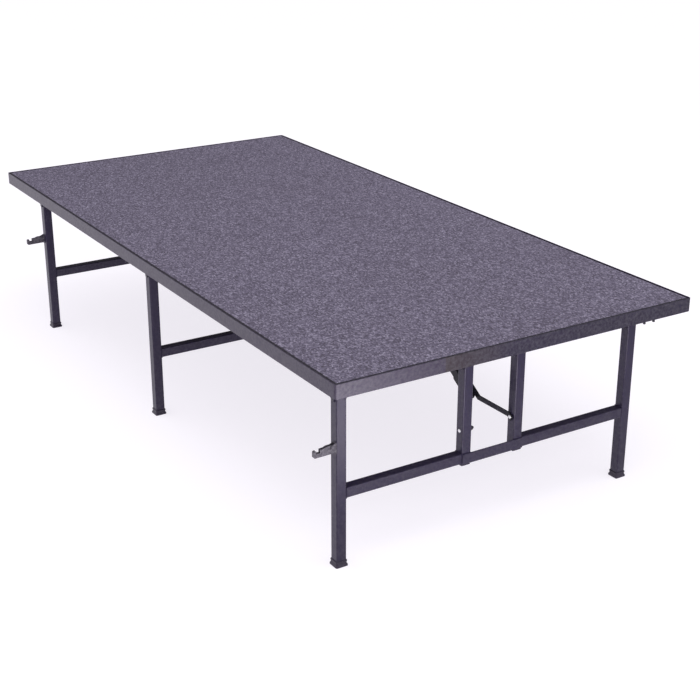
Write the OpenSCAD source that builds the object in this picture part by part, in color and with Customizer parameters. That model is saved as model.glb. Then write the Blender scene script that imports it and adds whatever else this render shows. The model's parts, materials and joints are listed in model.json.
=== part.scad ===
// Folding stage riser: a carpeted deck in a steel angle frame, on three leg
// frames that fold flat under it, each held open by a jointed brace.

/* [Deck] */
// Length of the short side of the deck
deck_w = 1219; // [1180:1:1260]
// Length of the long side of the deck
deck_l = 2438; // [2400:1:2480]
// Height of the top of the deck frame above the floor
deck_h = 530; // [515:1:560]
// Height of the outer face of the frame
rail_h = 41; // [38:1:44]
// Thickness of the steel that the frame is bent from
rail_t = 3; // [2.5:0.5:3]
// Reach of the inner shelf that carries the panel, from the outer face
shelf_reach = 36; // [34:1:40]
// Outer radius of the frame's upright corners
corner_r = 8; // [6:1:12]
// Thickness of the plywood panel
panel_t = 19; // [18:1:19]
// Thickness of the carpet with its backing
carpet_t = 6; // [5:0.5:6]
// Place of the butt joint in the front rail, from the left corner
seam_x = 338; // [300:1:370]

/* [Leg frames] */
// Outer width of the square tubes
tube = 30; // [29:0.25:30]
// Wall of the square tubes
wall = 2; // [1.5:0.5:2.5]
// Inset of the left legs from the deck's left face
leg_inset = 8; // [7.2:0.2:9]
// Left face of the right legs
leg_right_x = 985; // [960:1:990]
// Left face of the first short post
post_1_x = 406.5; // [400:0.5:412]
// Left face of the second short post
post_2_x = 583; // [576:0.5:588]
// Underside of the crossbars
bar_z = 200; // [195:1:205]
// Depth of the short posts below the crossbars
post_drop = 6; // [4:1:10]
// Pivot lines of the three leg frames, along the long side
pivot_y = [22, 1153, 2094];

/* [Braces] */
// Height of the bolts that hold the brace to the posts
brace_bolt_z = 295; // [292:1:298]
// Slope of the open brace
brace_slope = 32.4; // [32:0.1:34]
// Width of the brace channel
channel_w = 22; // [22:1:26]
// Height of the brace arms
arm_h = 16; // [12:1:16]
// Thickness of the brace arms
arm_t = 4; // [3:0.5:4]

/* [Side hooks] */
// Reach of a hook from the leg's face to its tip
hook_reach = 66; // [63:1:68]
// Underside of the hook arm
hook_z = 337; // [332:1:345]
// Width of the hook arm
hook_w = 9.6; // [9:0.2:9.6]

/* [Hidden] */

steel_black = [0.17, 0.16, 0.19];
steel_bare = [0.70, 0.70, 0.72];
carpet_grey = [0.38, 0.36, 0.42];
ply_black = [0.09, 0.08, 0.075];
plastic_black = [0.10, 0.10, 0.11];

$fn = 48;
eps = 1;
steps = 5;

// Heights of the deck's layers
panel_top = deck_h - carpet_t;
shelf_top = panel_top - panel_t;
shelf_z = shelf_top - rail_t;
rail_z = deck_h - rail_h;
panel_gap = 0.5;
carpet_gap = 2;

// Leg pivots
ear_t = 3;
ear_gap = 0.6;
ear_r = 7.5;
base_t = 3;
pin_r = 4;
run_gap = 0.06;
head_gap = 0.4;
pivot_drop = 20;
pivot_z = shelf_z - pivot_drop;
post_x = [post_1_x, post_2_x];
leg_x = [leg_inset, leg_right_x];
hinged_x = [leg_inset, post_1_x, post_2_x, leg_right_x];
mid_x = (post_1_x + post_2_x + tube) / 2;
post_face = (post_2_x - post_1_x - tube) / 2;

// Feet
foot_w = 38;
foot_top_w = 33.5;
foot_h = 18;
foot_floor = 6;
foot_rim = 5;

// Brace
bolt_drop = pivot_z - brace_bolt_z;
brace_out = bolt_drop / tan(brace_slope);
brace_span = bolt_drop / sin(brace_slope);
lower_link = (brace_span - brace_out + bolt_drop) / 2;
upper_link = brace_span - lower_link;
channel_t = 3;
channel_tail = 25;
arm_in = channel_w / 2 + 0.5;
arm_out = post_face - 0.4;

// Side hooks, measured out from the leg's face
hook_off = 8;
plate_t = 3;
hook_ear_t = 1.8;
hook_pin_out = 11;
hook_pin_r = 2.5;
hook_pin_z = hook_z + 18;

// Middle of the whole footprint, hooks included
row_x = (deck_w - (hook_reach - leg_inset)) / 2;
row_y = deck_l / 2;

// Outline of a rectangle with round corners, its near corner at the origin
function round_outline(w, l, r) = [
    for (q = [0:3])
        for (k = [0:steps])
            let (a = 180 + q * 90 + k * 90 / steps)
            let (cx = (q == 0 || q == 3) ? r : w - r)
            let (cy = (q < 2) ? r : l - r)
            [cx + r * cos(a), cy + r * sin(a)]
];

// Moves a shape from the deck's corner to the row's own origin
module in_row() {
    translate([-row_x, -row_y, 0]) children();
}

// Places a shape in leg frame i: Y = 0 on its pivot line, folding towards +Y
module in_set(i) {
    in_row()
        translate([0, pivot_y[i], 0])
            mirror([0, i == 0 ? 0 : 1, 0])
                children();
}

// A bar with axis X, from x0 to x1 through y, z
module x_rod(x0, x1, y, z, r) {
    translate([x0, y, z]) rotate([0, 90, 0]) cylinder(h = x1 - x0, r = r);
}

// A hexagonal nut with axis X, between x0 and x1
module x_nut(x0, x1, y, z, r, bore) {
    translate([x0, y, z]) rotate([0, 90, 0])
        difference() {
            cylinder(h = x1 - x0, r = r, $fn = 6);
            translate([0, 0, -eps]) cylinder(h = x1 - x0 + 2 * eps, r = bore);
        }
}

// A flat shape given in Y and Z, made thick along X from x0 to x1
module yz_plate(x0, x1) {
    translate([x0, 0, 0]) rotate([90, 0, 90]) linear_extrude(x1 - x0) children();
}

// ---- deck ----

// The bent angle all round: outer flange and inner shelf
module frame_ring() {
    difference() {
        translate([0, 0, rail_z]) linear_extrude(rail_h)
            polygon(round_outline(deck_w, deck_l, corner_r));
        translate([rail_t, rail_t, rail_z - eps]) linear_extrude(shelf_z - rail_z + eps)
            polygon(round_outline(deck_w - 2 * rail_t, deck_l - 2 * rail_t, corner_r - rail_t));
        translate([rail_t, rail_t, shelf_top]) linear_extrude(rail_h)
            polygon(round_outline(deck_w - 2 * rail_t, deck_l - 2 * rail_t, corner_r - rail_t));
        translate([shelf_reach, shelf_reach, rail_z])
            cube([deck_w - 2 * shelf_reach, deck_l - 2 * shelf_reach, rail_h]);
    }
}

// One rail: the part of the ring inside an outline, drilled for its screws
module rail(outline) {
    color(steel_black) in_row() difference() {
        intersection() {
            frame_ring();
            translate([0, 0, rail_z - eps]) linear_extrude(rail_h + 2 * eps) polygon(outline);
        }
        screw_shanks();
        joining_shanks();
    }
}

mitre = 60;

module rail_front_left() {
    rail([[0, 0], [seam_x, 0], [seam_x, mitre], [mitre, mitre]]);
}

module rail_front_right() {
    rail([[seam_x, 0], [deck_w, 0], [deck_w - mitre, mitre], [seam_x, mitre]]);
}

module rail_left() {
    rail([[0, 0], [mitre, mitre], [mitre, deck_l - mitre], [0, deck_l]]);
}

module rail_right() {
    rail([[deck_w, 0], [deck_w, deck_l], [deck_w - mitre, deck_l - mitre], [deck_w - mitre, mitre]]);
}

module rail_back() {
    rail([[0, deck_l], [mitre, deck_l - mitre], [deck_w - mitre, deck_l - mitre], [deck_w, deck_l]]);
}

module deck_panel() {
    inset = rail_t + panel_gap;
    color(ply_black) in_row() difference() {
        translate([inset, inset, shelf_top]) linear_extrude(panel_t)
            polygon(round_outline(deck_w - 2 * inset, deck_l - 2 * inset, corner_r - rail_t));
        screw_shanks();
    }
}

module carpet() {
    inset = rail_t + carpet_gap;
    color(carpet_grey) in_row()
        translate([inset, inset, panel_top]) linear_extrude(carpet_t)
            polygon(round_outline(deck_w - 2 * inset, deck_l - 2 * inset, corner_r - rail_t));
}

// Angle across the deck over a pivot line, its flange on the unfolding side
module cross_member(i) {
    half_w = 30;
    flange_h = 13;
    color(steel_black) in_set(i) {
        translate([shelf_reach, -half_w, shelf_z])
            cube([deck_w - 2 * shelf_reach, 2 * half_w, rail_t]);
        translate([shelf_reach, -half_w, shelf_z - flange_h])
            cube([deck_w - 2 * shelf_reach, rail_t, flange_h + eps]);
    }
}

module cross_member_b() {
    cross_member(1);
}

module cross_member_c() {
    cross_member(2);
}

// Top-hat ribs under the panel, clear of the folded legs
rib_y = [582, 1380, 2260];
rib_d = 16;
rib_in = 12;
rib_out = 24;
rib_t = 2;

module ribs() {
    color(steel_black) in_row() for (y = rib_y)
        difference() {
            translate([shelf_reach, y, 0])
                yz_plate(0, deck_w - 2 * shelf_reach)
                    polygon([
                        [-rib_out, shelf_top], [-rib_out, shelf_top - rib_t],
                        [-rib_in, shelf_top - rib_t], [-rib_in, shelf_top - rib_d],
                        [rib_in, shelf_top - rib_d], [rib_in, shelf_top - rib_t],
                        [rib_out, shelf_top - rib_t], [rib_out, shelf_top],
                        [rib_in - rib_t, shelf_top], [rib_in - rib_t, shelf_top - rib_d + rib_t],
                        [rib_t - rib_in, shelf_top - rib_d + rib_t], [rib_t - rib_in, shelf_top]
                    ]);
            screw_shanks();
        }
}

// Triangular plates between the shelves, level with them
module corner_gussets() {
    size = 70;
    color(steel_black) in_row()
        for (mx = [0, 1]) for (my = [0, 1])
            translate([mx * deck_w, my * deck_l, 0]) mirror([mx, 0, 0]) mirror([0, my, 0])
                translate([shelf_reach, shelf_reach, shelf_z]) linear_extrude(rail_t)
                    polygon([[0, 0], [size, 0], [0, size]]);
}

// Where the panel's screws are: [x, y, underside of the steel they pass]
screw_in = 20;
bracket_screw_x = 28;
bracket_screw_y = 18;
side_screws = [
    for (x = [screw_in, deck_w - screw_in])
        for (k = [0:7])
            [x, 130 + k * (deck_l - 268) / 7, shelf_z]
];
front_screws = [for (x = [150, 290, 505, 700, 860, 1160]) [x, screw_in, shelf_z]];
back_screws = [for (k = [0:4]) [150 + k * 230, deck_l - screw_in, shelf_z]];
rib_screws = [
    for (y = rib_y)
        for (x = [200, 610, 1020])
            for (s = [-1, 1])
                [x, y + s * (rib_in + rib_out) / 2, shelf_top - rib_t]
];
bracket_screws = [
    for (i = [0:2])
        for (x = [-bracket_screw_x, bracket_screw_x])
            for (y = [-bracket_screw_y, bracket_screw_y])
                [mid_x + x, pivot_y[i] + (i == 0 ? 1 : -1) * (brace_out + y), shelf_z]
];
screws = concat(side_screws, front_screws, back_screws, rib_screws, bracket_screws);
screw_r = 2.2;
screw_head_r = 4.5;
screw_head_h = 2.2;
screw_len = 13;

module screw_shanks() {
    for (p = screws)
        translate(p) cylinder(h = shelf_top + screw_len - p[2], r = screw_r, $fn = 24);
}

module deck_screws() {
    color(steel_bare) in_row() {
        for (p = screws)
            union() {
                translate(p) cylinder(h = shelf_top + screw_len - p[2], r = screw_r, $fn = 24);
                translate([p[0], p[1], p[2] - screw_head_h])
                    cylinder(h = screw_head_h, r = screw_head_r, $fn = 24);
            }
    }
}

// Two bolts that hang from the front shelf, for joining the next deck
join_x = [1051, 1087];
join_y = 13;
join_drop = 24;

module joining_shanks() {
    for (x = join_x)
        translate([x, join_y, shelf_z - join_drop]) cylinder(h = join_drop + rail_t, r = pin_r);
}

module joining_bolts() {
    nut_h = 6;
    color(steel_bare) in_row() {
        joining_shanks();
        for (x = join_x)
            translate([x, join_y, shelf_z - nut_h])
                difference() {
                    cylinder(h = nut_h, r = 7, $fn = 6);
                    translate([0, 0, -eps]) cylinder(h = nut_h + 2 * eps, r = pin_r);
                }
    }
}

// ---- leg hinges ----

// A clevis of two ears and a base, over the tube whose left face is at x
module clevis(x) {
    back = -16;
    front = 24;
    x0 = x - ear_gap - ear_t;
    x1 = x + tube + ear_gap;
    difference() {
        union() {
            translate([x0, back, shelf_z - base_t])
                cube([x1 + ear_t - x0, front - back, base_t]);
            for (e = [x0, x1]) {
                yz_plate(e, e + ear_t)
                    polygon([
                        [-ear_r, pivot_z], [ear_r, pivot_z],
                        [front - 4, shelf_z - base_t], [back + 4, shelf_z - base_t]
                    ]);
                x_rod(e, e + ear_t, 0, pivot_z, ear_r);
            }
        }
        x_rod(x0 - eps, x1 + ear_t + eps, 0, pivot_z, pin_r);
    }
}

module hinge_brackets(i) {
    color(steel_black) in_set(i) for (x = hinged_x) clevis(x);
}

// Headed pins through the clevises and through the brace bracket
module hinge_pins(i) {
    head_h = 2.5;
    head_r = 6.5;
    brace_half = channel_w / 2 + head_gap + ear_t;
    color(steel_bare) in_set(i) {
        for (x = hinged_x) {
            x_end = x + tube + ear_gap + ear_t;
            x_rod(x - ear_gap - ear_t, x_end, 0, pivot_z, pin_r);
            x_rod(x_end, x_end + head_h, 0, pivot_z, head_r);
        }
        x_rod(mid_x - brace_half, mid_x + brace_half, brace_out, pivot_z, pin_r);
        x_rod(mid_x + brace_half, mid_x + brace_half + head_h, brace_out, pivot_z, head_r);
    }
}

// ---- leg frame ----

// Square tube along Z with its near left corner at x, -tube / 2
module upright(x, z0, z1) {
    translate([x, -tube / 2, z0]) linear_extrude(z1 - z0)
        difference() {
            polygon(round_outline(tube, tube, 3));
            translate([wall, wall]) polygon(round_outline(tube - 2 * wall, tube - 2 * wall, 1.5));
        }
}

// Upright that ends round its pivot, drilled for the pin
module hinged_upright(x, z0) {
    difference() {
        intersection() {
            upright(x, z0, pivot_z + tube / 2);
            union() {
                translate([x - eps, -tube / 2 - eps, z0 - eps])
                    cube([tube + 2 * eps, tube + 2 * eps, pivot_z - z0 + eps]);
                x_rod(x - eps, x + tube + eps, 0, pivot_z, tube / 2);
            }
        }
        x_rod(x - eps, x + tube + eps, 0, pivot_z, pin_r + run_gap);
    }
}

module leg_left(i) {
    color(steel_black) in_set(i) hinged_upright(leg_inset, foot_floor);
}

module leg_right(i) {
    color(steel_black) in_set(i) hinged_upright(leg_right_x, foot_floor);
}

module posts(i) {
    color(steel_black) in_set(i) difference() {
        for (x = post_x) hinged_upright(x, bar_z - post_drop);
        x_rod(post_1_x - eps, post_1_x + tube + eps, 0, brace_bolt_z, pin_r);
        x_rod(post_2_x - eps, post_2_x + tube / 2, 0, brace_bolt_z, pin_r);
    }
}

// Square tube along X from x0 to x1
module crossbar(x0, x1) {
    translate([x0, -tube / 2, bar_z]) rotate([90, 0, 90]) linear_extrude(x1 - x0)
        difference() {
            polygon(round_outline(tube, tube, 3));
            translate([wall, wall]) polygon(round_outline(tube - 2 * wall, tube - 2 * wall, 1.5));
        }
}

module crossbars(i) {
    color(steel_black) in_set(i) {
        crossbar(leg_inset + tube, post_1_x);
        crossbar(post_2_x + tube, leg_right_x);
    }
}

// Flat bar across the outer faces of the two posts
module post_strap(i) {
    strap_t = 4;
    strap_h = 30;
    color(steel_black) in_set(i)
        translate([post_1_x, -tube / 2 - strap_t, bar_z + tube - strap_h])
            cube([post_2_x + tube - post_1_x, strap_t, strap_h]);
}

// Flared cap with a socket for the tube
module foot(x) {
    mid = x + tube / 2;
    difference() {
        hull() {
            translate([mid - foot_w / 2, -foot_w / 2, 0]) linear_extrude(foot_rim)
                polygon(round_outline(foot_w, foot_w, 4));
            translate([mid - foot_top_w / 2, -foot_top_w / 2, 0]) linear_extrude(foot_h)
                polygon(round_outline(foot_top_w, foot_top_w, 3));
        }
        translate([x, -tube / 2, foot_floor]) linear_extrude(foot_h)
            polygon(round_outline(tube, tube, 3));
    }
}

module feet(i) {
    color(plastic_black) in_set(i) for (x = leg_x) foot(x);
}

// ---- brace ----

// Bolts that carry the brace arms, both with their heads to the left
module brace_bolts(i) {
    head_h = 2;
    head_r = 5.5;
    nut_h = 6;
    nut_r = 7.5;
    spare = 5;
    z = brace_bolt_z;
    left_face = mid_x - arm_out + arm_t + head_gap;
    right_face = mid_x + arm_out - arm_t - head_gap;
    weld_nut = post_2_x + wall;
    color(steel_bare) in_set(i) {
        x_rod(post_1_x, left_face + nut_h + spare, 0, z, pin_r);
        x_rod(post_1_x - head_h, post_1_x, 0, z, head_r);
        x_nut(left_face, left_face + nut_h, 0, z, nut_r, pin_r);
        x_rod(right_face, weld_nut + nut_h, 0, z, pin_r);
        x_rod(right_face - head_h, right_face, 0, z, head_r);
        x_nut(weld_nut, weld_nut + nut_h, 0, z, nut_r, pin_r);
    }
}

// Bracket under the panel for the top of the brace
module brace_bracket(i) {
    x0 = mid_x - channel_w / 2 - head_gap - ear_t;
    x1 = mid_x + channel_w / 2 + head_gap;
    base_w = 70;
    base_l = 52;
    color(steel_black) in_set(i) difference() {
        union() {
            translate([mid_x - base_w / 2, brace_out - base_l / 2, shelf_z])
                cube([base_w, base_l, rail_t]);
            for (e = [x0, x1]) {
                yz_plate(e, e + ear_t)
                    polygon([
                        [brace_out - 9, pivot_z], [brace_out + 9, pivot_z],
                        [brace_out + 20, shelf_z], [brace_out - 20, shelf_z]
                    ]);
                x_rod(e, e + ear_t, brace_out, pivot_z, 9);
            }
        }
        x_rod(x0 - eps, x1 + ear_t + eps, brace_out, pivot_z, pin_r);
        for (x = [-bracket_screw_x, bracket_screw_x]) for (y = [-bracket_screw_y, bracket_screw_y])
            translate([mid_x + x, brace_out + y, shelf_z - eps])
                cylinder(h = rail_t + 2 * eps, r = screw_r, $fn = 24);
    }
}

// Upper link: a channel from the deck bracket down past the knuckle
module brace_channel(i) {
    end = upper_link + channel_tail;
    top = 9;
    slim = -11;
    deep = -17;
    deepest = -22;
    web = 2.5;
    color(steel_black) in_set(i)
        translate([mid_x, brace_out, pivot_z]) rotate([brace_slope, 0, 0]) difference() {
            union() {
                yz_plate(-channel_w / 2, channel_w / 2)
                    polygon([
                        [0, top], [0, -top], [-10, -top], [-16, slim], [-48, slim],
                        [-56, deep], [-170, deep], [-176, deepest],
                        [-end + 4, deepest], [-end, deepest + 4], [-end, top - 7], [-end + 5, top]
                    ]);
                x_rod(-channel_w / 2, channel_w / 2, 0, 0, top);
            }
            difference() {
                yz_plate(-channel_w / 2 + channel_t, channel_w / 2 - channel_t)
                    polygon([
                        [top + eps, top + eps], [top + eps, -top - eps], [-10, -top - eps],
                        [-16, slim + web], [-48, slim + web], [-56, deep + web],
                        [-170, deep + web], [-176, deepest + web],
                        [-end - eps, deepest + web], [-end - eps, top + eps]
                    ]);
                x_rod(-channel_w / 2, channel_w / 2, -upper_link, 0, 6.5);
            }
            x_rod(-channel_w, channel_w, 0, 0, pin_r + run_gap);
            x_rod(-channel_w, channel_w, -upper_link, 0, pin_r);
        }
}

// Lower link: two bent straps from the posts in to the knuckle
module brace_arms(i) {
    bend = 84;
    lug = 9;
    tip = lower_link + 10;
    color(steel_black) in_set(i)
        translate([mid_x, 0, brace_bolt_z]) rotate([brace_slope, 0, 0]) difference() {
            for (side = [0, 1]) mirror([side, 0, 0])
                translate([0, 0, -arm_h / 2]) linear_extrude(arm_h)
                    polygon([
                        [arm_out, -lug], [arm_out, lug], [arm_in + arm_t, bend], [arm_in + arm_t, tip],
                        [arm_in, tip], [arm_in, bend - 1], [arm_out - arm_t, lug - 1], [arm_out - arm_t, -lug]
                    ]);
            x_rod(-arm_out - eps, arm_out + eps, 0, 0, pin_r + run_gap);
            x_rod(-arm_out - eps, arm_out + eps, lower_link, 0, pin_r);
        }
}

// Rivets of the knuckle, one in each arm
module knuckle_rivets(i) {
    head_h = 2.5;
    head_r = 6.5;
    color(steel_bare) in_set(i)
        translate([mid_x, 0, brace_bolt_z]) rotate([brace_slope, 0, 0])
            for (side = [0, 1]) mirror([side, 0, 0]) {
                x_rod(arm_in, arm_in + arm_t, lower_link, 0, pin_r);
                x_rod(arm_in + arm_t, arm_in + arm_t + head_h, lower_link, 0, head_r);
            }
}

// ---- side hooks ----

// Hook frame: X runs out from the left leg's face, Z stays up
module in_hook(i) {
    in_set(i) translate([leg_inset, -hook_off, 0]) mirror([1, 0, 0]) children();
}

// A flat shape given in X and Z, made thick along Y from y0 to y1
module xz_plate(y0, y1) {
    translate([0, y1, 0]) rotate([90, 0, 0]) linear_extrude(y1 - y0) children();
}

module y_rod(y0, y1, x, z, r) {
    translate([x, y1, z]) rotate([90, 0, 0]) cylinder(h = y1 - y0, r = r);
}

module hook_plate(i) {
    half = hook_w / 2 + 0.3 + hook_ear_t;
    color(steel_bare) in_hook(i) difference() {
        union() {
            xz_plate(-half, half)
                polygon([
                    [0, hook_z - 2], [plate_t, hook_z - 2], [plate_t, hook_z + 30], [0, hook_z + 30]
                ]);
            for (y = [-half, half - hook_ear_t]) {
                xz_plate(y, y + hook_ear_t)
                    polygon([
                        [0, hook_z + 4], [hook_pin_out + 3, hook_pin_z - 6],
                        [hook_pin_out + 3, hook_pin_z + 6], [0, hook_z + 30]
                    ]);
                y_rod(y, y + hook_ear_t, hook_pin_out, hook_pin_z, 6.5);
            }
        }
        y_rod(-half - eps, half + eps, hook_pin_out, hook_pin_z, hook_pin_r);
    }
}

module hook_arm(i) {
    root = plate_t + 0.3;
    top = hook_z + 25;
    side_t = 2;
    color(steel_bare) in_hook(i) difference() {
        xz_plate(-hook_w / 2, hook_w / 2)
            polygon([
                [root, hook_z + 1], [root, hook_pin_z - 3],
                [hook_pin_out - 7.3, hook_pin_z], [hook_pin_out - 6.4, hook_pin_z + 3.4],
                [hook_pin_out - 3.8, hook_pin_z + 6.2], [hook_pin_out, top], [24, top],
                [30, top - 1], [34, top - 3], [hook_reach - 19, top - 4],
                [hook_reach - 19, top - 13], [hook_reach - 8, top - 13], [hook_reach - 8, top - 6],
                [hook_reach - 6, top - 5], [hook_reach - 1, top - 6], [hook_reach, top - 8],
                [hook_reach, hook_z + 3], [hook_reach - 3, hook_z]
            ]);
        translate([-eps, -hook_w / 2 + side_t, hook_z + side_t])
            cube([hook_reach - 2 + eps, hook_w - 2 * side_t, 40]);
        y_rod(-hook_w, hook_w, hook_pin_out, hook_pin_z, hook_pin_r + run_gap);
    }
}

module hook_pin(i) {
    half = hook_w / 2 + 0.3 + hook_ear_t;
    color(steel_bare) in_hook(i) {
        y_rod(-half, half, hook_pin_out, hook_pin_z, hook_pin_r);
        y_rod(-half - 1, -half, hook_pin_out, hook_pin_z, 4);
        y_rod(half, half + 1, hook_pin_out, hook_pin_z, 4);
    }
}

carpet();
deck_panel();
rail_front_left();
rail_front_right();
rail_left();
rail_right();
rail_back();
cross_member_b();
cross_member_c();
ribs();
corner_gussets();
deck_screws();
joining_bolts();
hinge_brackets(0);  // hinge_brackets_a
hinge_pins(0);  // hinge_pins_a
brace_bracket(0);  // brace_bracket_a
leg_left(0);  // leg_left_a
leg_right(0);  // leg_right_a
posts(0);  // posts_a
crossbars(0);  // crossbars_a
post_strap(0);  // post_strap_a
feet(0);  // feet_a
brace_bolts(0);  // brace_bolts_a
brace_channel(0);  // brace_channel_a
brace_arms(0);  // brace_arms_a
knuckle_rivets(0);  // knuckle_rivets_a
hinge_brackets(1);  // hinge_brackets_b
hinge_pins(1);  // hinge_pins_b
brace_bracket(1);  // brace_bracket_b
leg_left(1);  // leg_left_b
leg_right(1);  // leg_right_b
posts(1);  // posts_b
crossbars(1);  // crossbars_b
post_strap(1);  // post_strap_b
feet(1);  // feet_b
brace_bolts(1);  // brace_bolts_b
brace_channel(1);  // brace_channel_b
brace_arms(1);  // brace_arms_b
knuckle_rivets(1);  // knuckle_rivets_b
hinge_brackets(2);  // hinge_brackets_c
hinge_pins(2);  // hinge_pins_c
brace_bracket(2);  // brace_bracket_c
leg_left(2);  // leg_left_c
leg_right(2);  // leg_right_c
posts(2);  // posts_c
crossbars(2);  // crossbars_c
post_strap(2);  // post_strap_c
feet(2);  // feet_c
brace_bolts(2);  // brace_bolts_c
brace_channel(2);  // brace_channel_c
brace_arms(2);  // brace_arms_c
knuckle_rivets(2);  // knuckle_rivets_c
hook_plate(0);  // hook_plate_a
hook_arm(0);  // hook_arm_a
hook_pin(0);  // hook_pin_a
hook_plate(2);  // hook_plate_c
hook_arm(2);  // hook_arm_c
hook_pin(2);  // hook_pin_c
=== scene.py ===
import json
import math

import bmesh
import bpy
from mathutils import Matrix, Vector

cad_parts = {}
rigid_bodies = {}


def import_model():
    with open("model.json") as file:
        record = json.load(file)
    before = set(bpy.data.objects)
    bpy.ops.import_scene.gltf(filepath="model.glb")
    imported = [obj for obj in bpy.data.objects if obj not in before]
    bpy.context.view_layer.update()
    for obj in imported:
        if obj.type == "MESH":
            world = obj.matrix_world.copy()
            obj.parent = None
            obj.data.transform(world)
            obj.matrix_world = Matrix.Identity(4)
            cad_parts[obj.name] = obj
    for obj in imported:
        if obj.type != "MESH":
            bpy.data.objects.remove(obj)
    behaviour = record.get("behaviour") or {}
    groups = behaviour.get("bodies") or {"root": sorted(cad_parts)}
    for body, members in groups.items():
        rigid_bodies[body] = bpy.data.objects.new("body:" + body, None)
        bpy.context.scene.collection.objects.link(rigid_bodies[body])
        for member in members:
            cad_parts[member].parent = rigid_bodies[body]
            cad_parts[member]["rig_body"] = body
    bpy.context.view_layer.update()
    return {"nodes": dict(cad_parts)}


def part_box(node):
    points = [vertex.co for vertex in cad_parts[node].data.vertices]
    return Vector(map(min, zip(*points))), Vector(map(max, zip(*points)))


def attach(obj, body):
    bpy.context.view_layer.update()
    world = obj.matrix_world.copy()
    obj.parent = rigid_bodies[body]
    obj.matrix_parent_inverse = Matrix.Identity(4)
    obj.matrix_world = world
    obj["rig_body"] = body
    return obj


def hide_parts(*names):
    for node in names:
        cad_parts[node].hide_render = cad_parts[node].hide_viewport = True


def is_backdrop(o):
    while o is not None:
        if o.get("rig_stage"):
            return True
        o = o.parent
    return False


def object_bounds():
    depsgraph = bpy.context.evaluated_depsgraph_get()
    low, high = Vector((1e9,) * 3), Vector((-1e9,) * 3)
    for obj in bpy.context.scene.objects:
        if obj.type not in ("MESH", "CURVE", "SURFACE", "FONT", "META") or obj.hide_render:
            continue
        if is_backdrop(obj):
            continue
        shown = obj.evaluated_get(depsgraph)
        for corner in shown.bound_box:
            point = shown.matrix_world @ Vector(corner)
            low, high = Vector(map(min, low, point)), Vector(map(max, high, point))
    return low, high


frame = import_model()
MM = 0.001

# ---------------------------------------------------------------------------
# Camera and studio. The camera stands off the deck's near left corner, as high as a tall person's
# eyes, and looks down on it. A pale seamless floor that glows, two large soft boxes, a pool of light in
# front and a sky that is dimmer low down beyond the deck light it. None of this is part of the riser.
# ---------------------------------------------------------------------------
EYE = Vector((-2.2072, -3.8882, 1.8870))
TURN_RIGHT = math.radians(32.03)
LOOK_DOWN = math.radians(21.99)
TILT = math.radians(0.11)
SENSOR = 36
LENS = 70.56

camera_data = bpy.data.cameras.new("studio_camera")
camera_data.sensor_width = SENSOR
camera_data.lens = LENS
camera_data.dof.use_dof = False
camera_data.clip_end = 60
camera = bpy.data.objects.new("studio_camera", camera_data)
bpy.context.scene.collection.objects.link(camera)
camera.matrix_world = (
    Matrix.Translation(EYE)
    @ Matrix.Rotation(-TURN_RIGHT, 4, "Z")
    @ Matrix.Rotation(math.pi / 2 - LOOK_DOWN, 4, "X")
    @ Matrix.Rotation(TILT, 4, "Z")
)
bpy.context.scene.camera = camera


def soft_box(name, place, target, size, power):
    """A square area light that faces a point."""
    data = bpy.data.lights.new(name, "AREA")
    data.shape = "SQUARE"
    data.size = size
    data.energy = power
    light = bpy.data.objects.new(name, data)
    light.matrix_world = (
        Matrix.Translation(Vector(place))
        @ (Vector(target) - Vector(place)).to_track_quat("-Z", "Y").to_matrix().to_4x4()
    )
    bpy.context.scene.collection.objects.link(light)


soft_box("left_box", place=(-4.5, 1.0, 2.6), target=(0, 0, 0.3), size=3.5, power=12)
soft_box("top_box", place=(-0.1, -1.4, 4.2), target=(0, -0.6, 0.4), size=4.0, power=75)

POOL_PLACE = (-0.42, -2.45, 3.0)
POOL_POWER = 7200
POOL_CONE = math.radians(30)
pool = bpy.data.lights.new("floor_pool", "SPOT")
pool.energy = POOL_POWER
pool.spot_size = POOL_CONE
pool.spot_blend = 0.4
pool.shadow_soft_size = 0.05
pool_lamp = bpy.data.objects.new("floor_pool", pool)
pool_lamp.location = POOL_PLACE
bpy.context.scene.collection.objects.link(pool_lamp)


class Sock:
    """An output socket of a material. Arithmetic on it adds Math nodes, make() adds any other node."""

    def __init__(self, tree, socket=None):
        self.tree, self.socket = tree, socket

    def make(self, kind, settings=None, inputs=None, output=0):
        node = self.tree.nodes.new(kind)
        for name, value in (settings or {}).items():
            if name == "stops":
                ramp = node.color_ramp
                while len(ramp.elements) < len(value):
                    ramp.elements.new(0.5)
                for stop, (place, colour) in zip(ramp.elements, value):
                    stop.position, stop.color = place, (*colour, 1)
            else:
                setattr(node, name, value)
        for name, value in (inputs or {}).items():
            if isinstance(value, Sock):
                self.tree.links.new(value.socket, node.inputs[name])
            else:
                node.inputs[name].default_value = value
        return Sock(self.tree, node.outputs[output])

    def _math(self, operation, first, second):
        return self.make("ShaderNodeMath", {"operation": operation}, {0: first, 1: second})

    def __add__(self, other):
        return self._math("ADD", self, other)

    __radd__ = __add__

    def __sub__(self, other):
        return self._math("SUBTRACT", self, other)

    def __rsub__(self, other):
        return self._math("SUBTRACT", other, self)

    def __mul__(self, other):
        return self._math("MULTIPLY", self, other)

    def __truediv__(self, other):
        return self._math("DIVIDE", self, other)

    def clamped(self):
        return self.make("ShaderNodeClamp", None, {"Value": self})

    def noise(self, scale, detail=2.0, roughness=0.5):
        return self.make(
            "ShaderNodeTexNoise", None,
            {"Vector": self, "Scale": scale, "Detail": detail, "Roughness": roughness}, "Fac",
        )

    def mixed(self, share, other):
        """This colour, turning into another one as share goes from 0 to 1."""
        return self.make(
            "ShaderNodeMix", {"data_type": "RGBA"},
            {"Factor": share, 6: self, 7: other}, 2,
        )

    def bump(self, strength, distance):
        return self.make(
            "ShaderNodeBump", None, {"Height": self, "Strength": strength, "Distance": distance}
        )


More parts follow.
